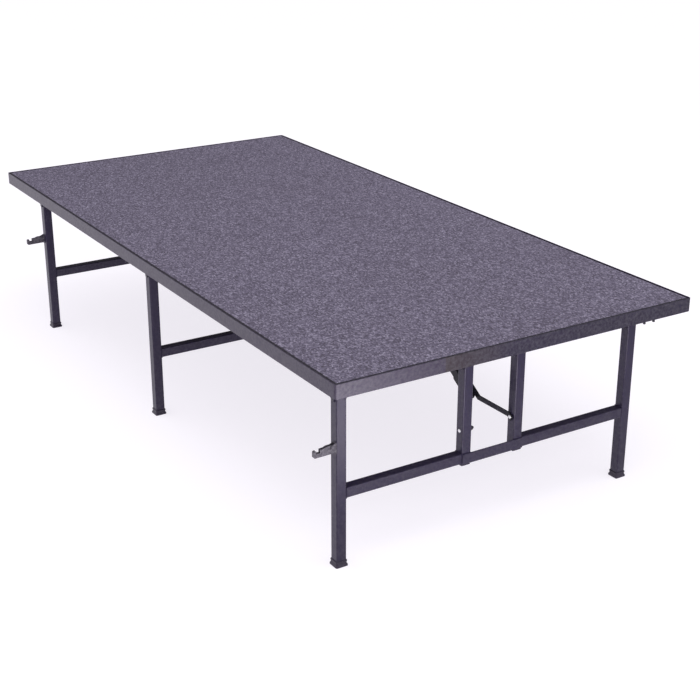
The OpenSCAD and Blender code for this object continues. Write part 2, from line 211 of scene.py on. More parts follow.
sky = bpy.data.worlds.new("studio")
sky.use_nodes = True
heading = Sock(sky.node_tree).make("ShaderNodeTexCoord", output="Generated")
FAR_WALL = (0.484, 0.775, 0.407)
SKY_GLOW = 1.12
SHADE_DEPTH = 1.0
SHADE_STARTS = 0.64
SHADE_RISE = 3.8
toward_wall = heading.make(
    "ShaderNodeVectorMath", {"operation": "DOT_PRODUCT"}, {0: heading, 1: FAR_WALL}, "Value"
)
in_shade = ((toward_wall - SHADE_STARTS) * SHADE_RISE).clamped()
glow = SKY_GLOW - in_shade * SHADE_DEPTH
background = sky.node_tree.nodes["Background"]
background.inputs["Color"].default_value = (0.975, 0.945, 1.0, 1)
sky.node_tree.links.new(glow.socket, background.inputs["Strength"])
bpy.context.scene.world = sky
bpy.context.scene.view_settings.view_transform = "Standard"

floor_mesh = bpy.data.meshes.new("floor")
FLOOR_HALF = 30
corners = [(x * FLOOR_HALF, y * FLOOR_HALF, 0) for x, y in ((-1, -1), (1, -1), (1, 1), (-1, 1))]
floor_mesh.from_pydata(corners, [], [(0, 1, 2, 3)])
floor = bpy.data.objects.new("floor", floor_mesh)
bpy.context.scene.collection.objects.link(floor)
floor_paint = bpy.data.materials.new("floor_paint")
floor_paint.use_nodes = True
for socket, value in (
    ("Base Color", (0.3, 0.3, 0.3, 1)), ("Roughness", 0.7), ("Specular IOR Level", 0.2),
    ("Emission Color", (0.96, 0.93, 1, 1)), ("Emission Strength", 0.78),
):
    floor_paint.node_tree.nodes["Principled BSDF"].inputs[socket].default_value = value
floor_mesh.materials.append(floor_paint)
floor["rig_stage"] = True


# ---------------------------------------------------------------------------
# Edge frame. Five lengths of 3 mm steel bent to an angle, 41 mm on the outer face with a 36 mm shelf
# under the panel. They are mitred and welded at the corners, and the front one is butted in two.
# All are powder coated in a satin charcoal that pulls thin and rubs bright along its edges. The
# right part of the front one is drawn with a darker, duller copy of the coat, as painted shade.
# ---------------------------------------------------------------------------
def finish_of(name, **constants):
    """A new material. Returns it, the object coordinates, and a function that links its shader."""
    material = bpy.data.materials.new(name)
    material.use_nodes = True
    tree = material.node_tree
    shader = tree.nodes["Principled BSDF"]
    for socket, value in constants.items():
        shader.inputs[socket.replace("_", " ")].default_value = value
    place = Sock(tree).make("ShaderNodeTexCoord", output="Object")

    def link(**values):
        for socket, value in values.items():
            tree.links.new(value.socket, shader.inputs[socket.replace("_", " ")])

    return material, place, link


def colour(place, rgb):
    """A constant colour, as something that mixes can start from."""
    return place.make("ShaderNodeCombineColor", None, {"Red": rgb[0], "Green": rgb[1], "Blue": rgb[2]})


BROWN_FADE_REACH = 0.22


def powder_coat(name, rgb, rub, roughness, gloss=0.5, brown_fade_from=None):
    """Satin powder coat: orange peel, faint dust and handling marks, and edges rubbed brighter. Past
    a given X position its colour turns a lighter warm brown, which fades out along X over a set reach."""
    material, place, link = finish_of(name, Specular_IOR_Level=gloss, Specular_Tint=(0.95, 0.88, 1.0, 1))
    cloud = place.noise(6.0, 3.0, 0.55)
    marks = (place.noise(60.0, 5.0, 0.7) * 3.6 - 2.0).clamped()
    edge = place.make("ShaderNodeAttribute", {"attribute_name": "edge_wear"}, output="Fac")
    worn = (edge * (place.noise(120.0, 3.0, 0.7) * 2.6 - 0.9)).clamped()
    base = colour(place, rgb).mixed((cloud - 0.25).clamped(), tuple(c * 1.5 for c in rgb) + (1,))
    if brown_fade_from is not None:
        along = place.make("ShaderNodeSeparateXYZ", None, {"Vector": place}, "X")
        # Just past the given X position the colour turns a lighter warm brown, fading out along X.
        brown_fade = (1 - (along - brown_fade_from) * (1 / BROWN_FADE_REACH)).clamped()
        base = base.mixed(brown_fade * (cloud + 0.35).clamped(), (0.034, 0.025, 0.022, 1))
    link(
        Base_Color=base.mixed(worn * 0.6, (*rub, 1)),
        Roughness=(roughness + marks * 0.03 + cloud * 0.03 - worn * 0.05).clamped(),
        Normal=(place.noise(650.0, 2.0) + place.noise(1900.0, 1.0) * 0.3).bump(0.018, 0.3 * MM),
    )
    return material


DOUBLES = 0.002 * MM
SHARP = math.radians(32)


def softened(node, width, finish, shortest=0.0):
    """A copy of a CAD node with its arrises rounded, which stands for the node. Edges shorter than
    shortest, such as those round a small hole, stay sharp."""
    source = frame["nodes"][node]
    form = bmesh.new()
    form.from_mesh(source.data)
    bmesh.ops.remove_doubles(form, verts=form.verts, dist=DOUBLES)
    bmesh.ops.dissolve_limit(
        form, angle_limit=math.radians(0.5), verts=form.verts, edges=form.edges
    )
    sharp = [
        e for e in form.edges
        if len(e.link_faces) == 2 and e.calc_face_angle(0) > SHARP and e.calc_length() > shortest
    ]
    wear = form.verts.layers.float.new("edge_wear")
    made = bmesh.ops.bevel(
        form, geom=sharp, offset=width, segments=2, profile=0.5, affect="EDGES", clamp_overlap=True
    )
    for vert in made["verts"]:
        vert[wear] = 1.0
    for face in form.faces:
        face.smooth = True
    mesh = bpy.data.meshes.new(node + "_finished")
    form.to_mesh(mesh)
    form.free()
    piece = bpy.data.objects.new(node + "_finished", mesh)
    bpy.context.scene.collection.objects.link(piece)
    normals = piece.modifiers.new("flat_faces", "WEIGHTED_NORMAL")
    normals.keep_sharp = True
    as_plain_mesh(piece)
    mesh_finish(piece, finish)
    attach(piece, source["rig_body"])
    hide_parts(node)


def as_plain_mesh(piece):
    """Turns a piece and its modifiers into a plain mesh."""
    view = bpy.context.evaluated_depsgraph_get()
    result = bpy.data.meshes.new_from_object(
        piece.evaluated_get(view), preserve_all_data_layers=True, depsgraph=view
    )
    piece.modifiers.clear()
    piece.data = result


def mesh_finish(piece, finish):
    piece.data.materials.clear()
    piece.data.materials.append(finish)


RUBBED = (0.07, 0.065, 0.08)
rail_coat = powder_coat("rail_coat", (0.011, 0.006, 0.023), RUBBED, 0.34, gloss=0.46)
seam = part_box("rail_front_right")[0][0]
# The right-hand length of the front rail gets a darker, duller copy of the rail coat: painted shade, because
# that length lies farther from the light.
shaded_front_rail_coat = powder_coat("shaded_front_rail_coat", (0.006, 0.004, 0.016), RUBBED, 0.31, gloss=0.27, brown_fade_from=seam)
ARRIS = 0.5 * MM
HOLE_EDGE = 1.2 * MM

for rail in ("rail_front_left", "rail_left", "rail_right", "rail_back"):
    softened(rail, ARRIS, rail_coat, shortest=HOLE_EDGE)
softened("rail_front_right", ARRIS, shaded_front_rail_coat, shortest=HOLE_EDGE)


# ---------------------------------------------------------------------------
# Steelwork under the deck. Cross members over the two inner leg hinges, top-hat ribs and corner
# gussets, of sheet steel welded between the shelves and coated with the frame.
# ---------------------------------------------------------------------------
under_coat = powder_coat("under_coat", (0.014, 0.011, 0.020), RUBBED, 0.42)
for member in ("cross_member_b", "cross_member_c", "ribs", "corner_gussets"):
    softened(member, ARRIS, under_coat, shortest=HOLE_EDGE)


# ---------------------------------------------------------------------------
# Deck panel. One sheet of 19 mm plywood, dropped on the shelf and screwed up from below. Only its
# underside shows: stained black and sealed, with the long grain and the plies still to be seen.
# ---------------------------------------------------------------------------
plywood, place, link = finish_of("black_stained_plywood")
along = place.make("ShaderNodeMapping", None, {"Vector": place, "Scale": (38.0, 2.2, 38.0)})
grain = along.noise(2.4, 6.0, 0.62)
broad = place.make("ShaderNodeMapping", None, {"Vector": place, "Scale": (9.0, 0.7, 9.0)})
thin_stain = (broad.noise(1.6, 3.0) * 3.0 - 1.5).clamped()
PLY = 2.7 * MM
height = place.make("ShaderNodeSeparateXYZ", None, {"Vector": place}, "Z")
plies = height.make("ShaderNodeMath", {"operation": "SINE"}, {0: height * (math.pi / PLY)})
facing = place.make("ShaderNodeNewGeometry", output="Normal")
flat_on = facing.make("ShaderNodeSeparateXYZ", None, {"Vector": facing}, "Z")
end_grain = (1 - flat_on * flat_on).clamped() * (plies * 2.0).clamped()
board = colour(place, (0.020, 0.017, 0.018)).mixed(grain, (0.046, 0.038, 0.036, 1))
board = board.mixed(thin_stain * 0.5, (0.060, 0.046, 0.038, 1))
link(
    Base_Color=board.mixed(end_grain * 0.6, (0.085, 0.062, 0.046, 1)),
    Roughness=0.5 + grain * 0.25,
    Normal=(grain + place.noise(900.0, 2.0) * 0.25).bump(0.25, 0.4 * MM),
)
mesh_finish(frame["nodes"]["deck_panel"], plywood)


# ---------------------------------------------------------------------------
# Carpet. One piece of short heathered pile on a stiff backing, glued to the panel. It is cut a
# little short of the frame, so its edge rolls over and a dark gap runs all round it. The gap's shade
# is also painted onto the carpet's outer rim.
# ---------------------------------------------------------------------------
def new_tree(name, **inputs):
    """An empty Geometry Nodes tree with named inputs. Returns it and the inputs by name."""
    tree = bpy.data.node_groups.new(name, "GeometryNodeTree")
    for label, kind in {"Geometry": "Geometry", **inputs}.items():
        tree.interface.new_socket(label, in_out="INPUT", socket_type="NodeSocket" + kind)
    tree.interface.new_socket("Geometry", in_out="OUTPUT", socket_type="NodeSocketGeometry")
    entry = tree.nodes.new("NodeGroupInput")
    return tree, {socket.name: Sock(tree, socket) for socket in entry.outputs if socket.name}


def end_tree(shape, finish):
    """Ends a tree in real faces that carry their material."""
    shape = shape.make("GeometryNodeRealizeInstances", None, {"Geometry": shape})
    shape = shape.make("GeometryNodeSetMaterial", None, {"Geometry": shape, "Material": finish})
    shape.tree.links.new(shape.socket, shape.tree.nodes.new("NodeGroupOutput").inputs["Geometry"])


def grown(name, start, tree, **values):
    """A plain mesh piece that a tree makes from a start mesh and the values of its inputs."""
    piece = bpy.data.objects.new(name, start)
    bpy.context.scene.collection.objects.link(piece)
    modifier = piece.modifiers.new(tree.name, "NODES")
    modifier.node_group = tree
    for socket in tree.interface.items_tree:
        if socket.in_out == "INPUT" and socket.name in values:
            modifier[socket.identifier] = values[socket.name]
    as_plain_mesh(piece)
    mesh_finish(piece, values["Finish"])
    piece.data.polygons.foreach_set("material_index", [0] * len(piece.data.polygons))
    return piece


def tidied(piece, smooth_below):
    """Merges a piece's doubles, turns its faces outwards and smooths all but its sharp edges."""
    form = bmesh.new()
    form.from_mesh(piece.data)
    bmesh.ops.remove_doubles(form, verts=form.verts, dist=0.01 * MM)
    bmesh.ops.recalc_face_normals(form, faces=form.faces)
    for face in form.faces:
        face.smooth = True
    for edge in form.edges:
        edge.smooth = len(edge.link_faces) == 2 and edge.calc_face_angle(0) < smooth_below
    form.to_mesh(piece.data)
    form.free()


carpet_tree, given = new_tree(
    "laid_carpet", Width="Float", Length="Float", Thickness="Float", Cell="Float",
    Roll="Float", Unevenness="Float", Middle="Vector", Finish="Material",
)
start = given["Geometry"]
weave = start.make("GeometryNodeMeshGrid", None, {
    "Size X": given["Width"], "Size Y": given["Length"],
    "Vertices X": given["Width"] / given["Cell"],
    "Vertices Y": given["Length"] / given["Cell"],
})
spot = start.make("GeometryNodeInputPosition")
across, down = (start.make("ShaderNodeSeparateXYZ", None, {"Vector": spot}, axis) for axis in "XY")
inward = start.make("ShaderNodeMath", {"operation": "MINIMUM"}, {
    0: given["Width"] * 0.5 - start.make("ShaderNodeMath", {"operation": "ABSOLUTE"}, {0: across}),
    1: given["Length"] * 0.5 - start.make("ShaderNodeMath", {"operation": "ABSOLUTE"}, {0: down}),
})
fall = (1 - inward / given["Roll"]).clamped()
tuft = spot.noise(95.0, 3.0, 0.7) - 0.5
weave = start.make("GeometryNodeSetPosition", None, {
    "Geometry": weave,
    "Offset": start.make("ShaderNodeCombineXYZ", None, {
        "Z": tuft * given["Unevenness"] - fall * fall * given["Roll"],
    }),
})
open_edge = start.make("ShaderNodeMath", {"operation": "COMPARE"}, {
    0: start.make("GeometryNodeInputMeshEdgeNeighbors"), 1: 1.0, 2: 0.1,
})
skirt = weave.make("GeometryNodeExtrudeMesh", {"mode": "EDGES"}, {
    "Mesh": weave, "Selection": open_edge, "Offset Scale": 0.0,
})
hem = Sock(skirt.tree, skirt.socket.node.outputs["Top"])
underside = skirt.make("ShaderNodeCombineXYZ", None, {"X": across, "Y": down, "Z": 0 - given["Thickness"]})
skirt = skirt.make("GeometryNodeSetPosition", None, {
    "Geometry": skirt, "Selection": hem, "Position": underside,
})
ring = skirt.make("GeometryNodeMeshToCurve", None, {"Mesh": skirt, "Selection": hem})
backing = ring.make("GeometryNodeFillCurve", None, {"Curve": ring})
backing = backing.make("GeometryNodeSetPosition", None, {"Geometry": backing, "Position": underside})
whole = start.make("GeometryNodeJoinGeometry")
for part in (skirt, backing):
    whole.tree.links.new(part.socket, whole.socket.node.inputs["Geometry"])
whole = whole.make("GeometryNodeTransform", None, {"Geometry": whole, "Translation": given["Middle"]})
end_tree(whole, given["Finish"])

low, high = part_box("carpet")
TUFT = 3.7 * MM
pile, place, link = finish_of("heathered_pile")
rows = place.make("ShaderNodeMapping", None, {"Vector": place, "Scale": (1.0, 0.62, 1.0)})
loop = rows.make("ShaderNodeTexVoronoi", None, {"Vector": rows, "Scale": 1 / TUFT}, "Color")
yarn = loop.make("ShaderNodeSeparateColor", None, {"Color": loop}, "Red")
dome = rows.make("ShaderNodeTexVoronoi", None, {"Vector": rows, "Scale": 1 / TUFT}, "Distance")
clump = rows.noise(150.0, 3.0, 0.7)
shade = yarn * 0.85 + clump * 0.26 - 0.06
tone = shade.make("ShaderNodeValToRGB", {"stops": [
    (0.10, (0.046, 0.039, 0.061)), (0.40, (0.084, 0.073, 0.110)),
    (0.66, (0.114, 0.100, 0.149)), (0.94, (0.240, 0.221, 0.290)),
]}, {"Fac": shade}, "Color")
traffic = (place.noise(2.6, 3.0, 0.5) * 1.6 - 0.5).clamped()
side, end = (place.make("ShaderNodeSeparateXYZ", None, {"Vector": place}, axis) for axis in "XY")
to_side, to_end = (
    (high[k] - low[k]) / 2 - (way - (low[k] + high[k]) / 2).make(
        "ShaderNodeMath", {"operation": "ABSOLUTE"}, {0: way - (low[k] + high[k]) / 2})
    for k, way in enumerate((side, end))
)
to_edge = to_side.make("ShaderNodeMath", {"operation": "MINIMUM"}, {0: to_side, 1: to_end})
# The outer 4.5 mm of the carpet is painted near black, fading out over 2 mm more: painted shade for the dark
# gap between the carpet and the rail.
GAP_SHADE_WIDTH = 4.5 * MM
GAP_SHADE_FADE = 2.0 * MM
painted_gap_shade = (1 - (to_edge - GAP_SHADE_WIDTH) * (1 / GAP_SHADE_FADE)).clamped()
trodden = tone.mixed(traffic * 0.2, (0.075, 0.062, 0.088, 1))
link(
    Base_Color=trodden.mixed(painted_gap_shade * 0.92, (0.006, 0.005, 0.008, 1)),
    Roughness=0.9 + clump * 0.1,
    Normal=(clump * 0.6 - dome + place.noise(900.0, 2.0, 0.7) * 0.4).bump(0.8, 1.4 * MM),
)
TUFT_ROOM = 0.3 * MM
carpet = grown(
    "carpet_pile", bpy.data.meshes.new("carpet_pile"), carpet_tree,
    Width=high[0] - low[0], Length=high[1] - low[1], Thickness=high[2] - low[2] - TUFT_ROOM,
    Cell=6.2 * MM, Roll=2.6 * MM, Unevenness=0.9 * MM, Finish=pile,
    Middle=((low[0] + high[0]) / 2, (low[1] + high[1]) / 2, high[2] - TUFT_ROOM),
)
tidied(carpet, math.radians(50))
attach(carpet, "deck")
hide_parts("carpet")


# ---------------------------------------------------------------------------
# Leg frames. Square tube legs with two short posts between them, joined by crossbars and a flat
# strap, all welded and powder coated as one. Hinge brackets are folded sheet welded to the deck.
# ---------------------------------------------------------------------------
SETS = "abc"
leg_coat = powder_coat("leg_coat", (0.007, 0.004, 0.021), (0.05, 0.046, 0.06), 0.31, gloss=0.35)
for s in SETS:
    for part in ("leg_left", "leg_right", "posts", "crossbars", "post_strap"):
        softened(f"{part}_{s}", 0.35 * MM, leg_coat)
    softened(f"hinge_brackets_{s}", 0.4 * MM, leg_coat)


# ---------------------------------------------------------------------------
# Feet. A moulded black cap pressed over the end of each leg: a collar round the tube, a ribbed skirt
# that flares below it, and a rounded rim on the floor.
# ---------------------------------------------------------------------------
def cap_ring(form, middle, half, corner, height, rib):
    """One level of a cap, from the middle of its front side. Ribs stand out by rib."""
    side_steps, turn_steps = 14, 4
    ring = []
    for side in range(4):
        turn = Matrix.Rotation(side * math.pi / 2, 3, "Z")
        flat = half - corner
        outline = [
            (flat * (2 * k / side_steps - 1), -half - rib * (k % 2)) for k in range(side_steps)
        ] + [
            (flat + corner * math.sin(a), -flat - corner * math.cos(a))
            for a in (math.pi / 2 * k / turn_steps for k in range(turn_steps))
        ]
        for x, y in outline:
            ring.append(form.verts.new(Vector((middle[0], middle[1], height)) + turn @ Vector((x, y, 0))))
    return ring


TUBE_CORNER = 3.0 * MM
SOCKET_LIP = 17.6 * MM


def foot_caps(s):
    """Both caps of one leg frame, as one piece."""
    form = bmesh.new()
    for leg in ("leg_left", "leg_right"):
        tube_low, tube_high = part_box(f"{leg}_{s}")
        middle = ((tube_low[0] + tube_high[0]) / 2, (tube_low[1] + tube_high[1]) / 2)
        tube_half = (tube_high[0] - tube_low[0]) / 2
        levels = [
            (17.8, 4.0, 0.0, 0), (18.8, 4.4, 0.8, 0), (18.9, 4.5, 4.6, 0), (18.3, 4.4, 5.6, 0),
            (17.3, 4.1, 7.2, 0.3), (16.5, 3.8, 9.6, 0.3), (16.0, 3.6, 12.0, 0.3), (15.9, 3.6, 12.9, 0),
            (17.1, 3.8, 13.5, 0), (17.2, 3.8, 16.6, 0), (16.7, 3.6, 17.6, 0), (16.0, 3.4, 18.0, 0),
        ]
        rings = [cap_ring(form, middle, h * MM, c * MM, z * MM, r * MM) for h, c, z, r in levels]
        rings.append(cap_ring(form, middle, tube_half, TUBE_CORNER, SOCKET_LIP, 0))
        rings.append(cap_ring(form, middle, tube_half, TUBE_CORNER, tube_low[2], 0))
        for below, above in zip(rings, rings[1:]):
            for k in range(len(below)):
                n = (k + 1) % len(below)
                form.faces.new((below[k], below[n], above[n], above[k]))
        form.faces.new(reversed(rings[0]))
        form.faces.new(rings[-1])
    mesh = bpy.data.meshes.new(f"foot_caps_{s}")
    form.to_mesh(mesh)
    form.free()
    piece = bpy.data.objects.new(f"foot_caps_{s}", mesh)
    bpy.context.scene.collection.objects.link(piece)
    tidied(piece, math.radians(38))
    return piece


foot_plastic, place, link = finish_of("cap_plastic", Specular_Tint=(0.9, 0.84, 1.0, 1))
low_dust = (1 - place.make("ShaderNodeSeparateXYZ", None, {"Vector": place}, "Z") * 110.0).clamped()
scuff = (place.noise(160.0, 5.0, 0.7) * 3.0 - 1.4).clamped()
soiled = (low_dust * 0.35 + scuff * 0.3).clamped()
link(
    Base_Color=colour(place, (0.008, 0.005, 0.014)).mixed(soiled, (0.050, 0.043, 0.062, 1)),
    Roughness=0.3 + scuff * 0.25,
    Normal=place.noise(1400.0, 2.0).bump(0.2, 0.3 * MM),
)
for s in SETS:
    caps = foot_caps(s)
    mesh_finish(caps, foot_plastic)
    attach(caps, f"leg_frame_{s}")
    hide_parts(f"feet_{s}")


# ---------------------------------------------------------------------------
# Welds. MIG beads close the crossbars and the strap to the uprights, and stitch the brackets,
# members and gussets to the deck's steel. They were coated together with what they join.
# ---------------------------------------------------------------------------
bead_tree, given = new_tree(
    "weld_bead", Radius="Float", Ripple="Float", Wander="Float", Seed="Float", Finish="Material",
)
start = given["Geometry"]
path = start.make("GeometryNodeMeshToCurve", None, {"Mesh": start})
path = path.make("GeometryNodeResampleCurve", {"mode": "LENGTH"}, {
    "Curve": path, "Length": given["Ripple"] * 0.5,
})
beat = start.make("GeometryNodeInputIndex")
beat = start.make("ShaderNodeMath", {"operation": "PINGPONG"}, {0: beat, 1: 1.0})
drift = start.make(
    "ShaderNodeTexNoise", {"noise_dimensions": "4D"},
    {"Vector": start.make("GeometryNodeInputPosition"), "W": given["Seed"], "Scale": 180.0}, "Fac",
) - 0.5
thick = given["Radius"] * (0.86 + beat * 0.18 + drift * given["Wander"])
path = path.make("GeometryNodeSetCurveRadius", None, {"Curve": path, "Radius": thick})
section = start.make("GeometryNodeCurvePrimitiveCircle", None, {"Resolution": 7, "Radius": 1.0})
bead = path.make("GeometryNodeCurveToMesh", None, {
    "Curve": path, "Profile Curve": section, "Scale": thick, "Fill Caps": True,
})
end_tree(bead, given["Finish"])


def weld(name, body, paths, radius, finish, seed):
    """Beads along paths of corner points, as one piece. A path that ends where it began is a ring."""
    lines = bpy.data.meshes.new(name)
    points, edges = [], []
    for run in paths:
        ring = run[0] == run[-1]
        first = len(points)
        points += run[:-1] if ring else run
        edges += [(first + k, first + k + 1) for k in range(len(points) - first - 1)]
        if ring:
            edges.append((len(points) - 1, first))
    lines.from_pydata(points, edges, [])
    piece = grown(
        name, lines, bead_tree, Radius=radius, Ripple=2.6 * MM, Wander=0.35, Seed=seed, Finish=finish
    )
    tidied(piece, math.radians(70))
    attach(piece, body)


BEAD = 1.5 * MM
for count, s in enumerate(SETS):
    left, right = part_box(f"leg_left_{s}"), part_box(f"leg_right_{s}")
    posts, bars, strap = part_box(f"posts_{s}"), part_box(f"crossbars_{s}"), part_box(f"post_strap_{s}")
    tube = left[1][0] - left[0][0]
    y0, y1, z0, z1 = bars[0][1], bars[1][1], bars[0][2], bars[1][2]
    rings = []
    for x in (left[1][0], posts[0][0], posts[1][0], right[0][0]):
        rings.append([(x, y0, z0), (x, y1, z0), (x, y1, z1), (x, y0, z1), (x, y0, z0)])
    inner_face = strap[1][1] if count == 0 else strap[0][1]
    for x in (posts[0][0] + tube, posts[1][0] - tube):
        rings.append([(x, inner_face, strap[0][2]), (x, inner_face, strap[1][2])])
    for x in (posts[0][0] + 0.1 * tube, posts[1][0] - 0.9 * tube):
        rings.append([(x, inner_face, strap[1][2]), (x + 0.8 * tube, inner_face, strap[1][2])])
    weld(f"frame_welds_{s}", f"leg_frame_{s}", rings, BEAD, leg_coat, float(count))

stitches = []
STITCH = 22 * MM
for node in ("cross_member_b", "cross_member_c"):
    low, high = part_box(node)
    for x in (low[0], high[0]):
        for y in (low[1] + 8 * MM, high[1] - 8 * MM - STITCH):
            stitches.append([(x, y, low[2] + 13 * MM), (x, y + STITCH, low[2] + 13 * MM)])
for s in SETS:
    low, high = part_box(f"hinge_brackets_{s}")
    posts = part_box(f"posts_{s}")
    legs = [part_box(f"leg_{side}_{s}")[0][0] for side in ("left", "right")]
    for x in (legs[0], posts[0][0], posts[1][0] - tube, legs[1]):
        for y in (low[1], high[1]):
            stitches.append([(x + 4 * MM, y, high[2]), (x + 4 * MM + STITCH, y, high[2])])
weld("deck_welds", "deck", stitches, BEAD, under_coat, 7.0)


# ---------------------------------------------------------------------------
# Knee braces. A bracket screwed up under the panel, a pressed channel hanging from it, and two bent
# straps from the posts that are riveted on either side of the channel's lower end.
# ---------------------------------------------------------------------------
# The braces get a near-black copy of the frame coat, darker than the legs: painted shade for where they hang
# under the deck.
brace_shaded_coat = powder_coat("brace_shaded_coat", (0.003, 0.0025, 0.006), (0.03, 0.03, 0.035), 0.36, gloss=0.2)
for s in SETS:
    softened(f"brace_bracket_{s}", 0.4 * MM, brace_shaded_coat)
    softened(f"brace_channel_{s}", 0.5 * MM, brace_shaded_coat)
    softened(f"brace_arms_{s}", 0.6 * MM, brace_shaded_coat)


# ---------------------------------------------------------------------------
# Bolts, rivets and screws. Zinc plated button bolts with hexagon nuts hold the brace arms to the
# posts, domed rivets make the knuckles, and pan head screws with a cross recess hold the panel.
# ---------------------------------------------------------------------------
def turned(name, profile, sides, cut=None):
    """A part made on a lathe about Z, from (radius, height) points in millimetres that start and end
    on the axis."""
    form = bmesh.new()
    rings = []
    for radius, height in ((r * MM, h * MM) for r, h in profile):
        if radius == 0:
            rings.append([form.verts.new((0, 0, height))])
        else:
            rings.append([
                form.verts.new((radius * math.cos(a), radius * math.sin(a), height))
                for a in (math.tau * k / sides for k in range(sides))
            ])
    for below, above in zip(rings, rings[1:]):
        for k in range(sides):
            n = (k + 1) % sides
            corners = [below[k % len(below)], below[n % len(below)]]
            corners += [above[n % len(above)], above[k % len(above)]]
            form.faces.new(list(dict.fromkeys(corners)))
    bmesh.ops.recalc_face_normals(form, faces=form.faces)
    for face in form.faces:
        face.smooth = True
    for edge in form.edges:
        edge.smooth = edge.calc_face_angle(0) < math.radians(35)
    mesh = bpy.data.meshes.new(name)
    form.to_mesh(mesh)
    form.free()
    part = bpy.data.objects.new(name, mesh)
    bpy.context.scene.collection.objects.link(part)
    if cut:
        carve = part.modifiers.new("recess", "BOOLEAN")
        carve.object = cut
        carve.solver = "EXACT"
        as_plain_mesh(part)
    return part


def cross_cutter(length, width, low, high):
    """A plus-shaped prism, for the recess of a screw head."""
    far, near = length / 2, width / 2
    corner = [(far, near), (near, near), (near, far)]
    outline = []
    for _ in range(4):
        outline += corner
        corner = [(-y, x) for x, y in corner]
    form = bmesh.new()
    floor_ring = [form.verts.new((x, y, low)) for x, y in outline]
    top_ring = [form.verts.new((x, y, high)) for x, y in outline]
    form.faces.new(floor_ring)
    form.faces.new(top_ring)
    for k in range(len(outline)):
        n = (k + 1) % len(outline)
        form.faces.new((floor_ring[k], floor_ring[n], top_ring[n], top_ring[k]))
    bmesh.ops.recalc_face_normals(form, faces=form.faces)
    mesh = bpy.data.meshes.new("recess_cutter")
    form.to_mesh(mesh)
    form.free()
    cutter = bpy.data.objects.new("recess_cutter", mesh)
    bpy.context.scene.collection.objects.link(cutter)
    return cutter


row_tree, given = new_tree("fastener_row", Part="Object", Seed="Int", Finish="Material")
start = given["Geometry"]
aim = start.make("GeometryNodeInputNamedAttribute", {"data_type": "FLOAT_VECTOR"}, {"Name": "aim"})
reach = start.make("GeometryNodeInputNamedAttribute", {"data_type": "FLOAT_VECTOR"}, {"Name": "reach"})
chance = start.make("FunctionNodeRandomValue", {"data_type": "FLOAT"}, {"Seed": given["Seed"]}, 1) * math.tau
facing = start.make("FunctionNodeAlignRotationToVector", {"axis": "Z"}, {"Vector": aim})
spin = start.make("FunctionNodeAxisAngleToRotation", None, {"Axis": (0, 0, 1), "Angle": chance})
facing = start.make("FunctionNodeRotateRotation", {"rotation_space": "LOCAL"}, {
    "Rotation": facing, "Rotate By": spin,
})
thing = start.make("GeometryNodeObjectInfo", None, {"Object": given["Part"]}, "Geometry")
dots = start.make("GeometryNodeMeshToPoints", None, {"Mesh": start})
row = start.make("GeometryNodeInstanceOnPoints", None, {
    "Points": dots, "Instance": thing, "Rotation": facing, "Scale": reach,
})
end_tree(row, given["Finish"])


def fasteners(name, body, part, places, finish, seed, stands_for=()):
    """Copies of one part, each at (place, aim, scale), as one piece that rides on a body."""
    dots = bpy.data.meshes.new(name)
    dots.from_pydata([place for place, _, _ in places], [], [])
    for label, column in (("aim", 1), ("reach", 2)):
        values = dots.attributes.new(label, "FLOAT_VECTOR", "POINT")
        for k, row in enumerate(places):
            values.data[k].vector = row[column]
    piece = grown(name, dots, row_tree, Part=part, Seed=seed, Finish=finish)
    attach(piece, body)
    for node in stands_for:
        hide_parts(node)


def loose_boxes(node):
    """The lowest and highest corners of each separate solid of a CAD node."""
    form = bmesh.new()
    form.from_mesh(frame["nodes"][node].data)
    bmesh.ops.remove_doubles(form, verts=form.verts, dist=DOUBLES)
    seen, boxes = set(), []
    for first in form.verts:
        if first in seen:
            continue
        seen.add(first)
        stack, found = [first], []
        while stack:
            vert = stack.pop()
            found.append(vert.co.copy())
            for edge in vert.link_edges:
                other = edge.other_vert(vert)
                if other not in seen:
                    seen.add(other)
                    stack.append(other)
        boxes.append((
            Vector([min(p[k] for p in found) for k in range(3)]),
            Vector([max(p[k] for p in found) for k in range(3)]),
        ))
    form.free()
    return boxes


def plated(name, rgb, roughness):
    """Zinc plate: metal with a faint blotchy bloom and fine scratches."""
    material, place, link = finish_of(name, Metallic=1.0)
    bloom = place.noise(240.0, 4.0, 0.65)
    patches = (bloom * 2.0 - 0.7).clamped()
    link(
        Base_Color=colour(place, rgb).mixed(patches * 0.4, (*(c * 0.7 for c in rgb), 1)),
        Roughness=roughness + bloom * 0.18,
        Normal=place.noise(1600.0, 3.0).bump(0.15, 0.2 * MM),
    )
    return material


ONE = (1, 1, 1)
zinc = plated("bright_zinc", (0.80, 0.80, 0.82), 0.22)
dull_zinc = plated("dull_zinc", (0.22, 0.21, 0.23), 0.35)
# Nuts and bolt ends get a near-black zinc, darker than the bolt heads.
dark_zinc = plated("dark_zinc", (0.035, 0.032, 0.042), 0.45)

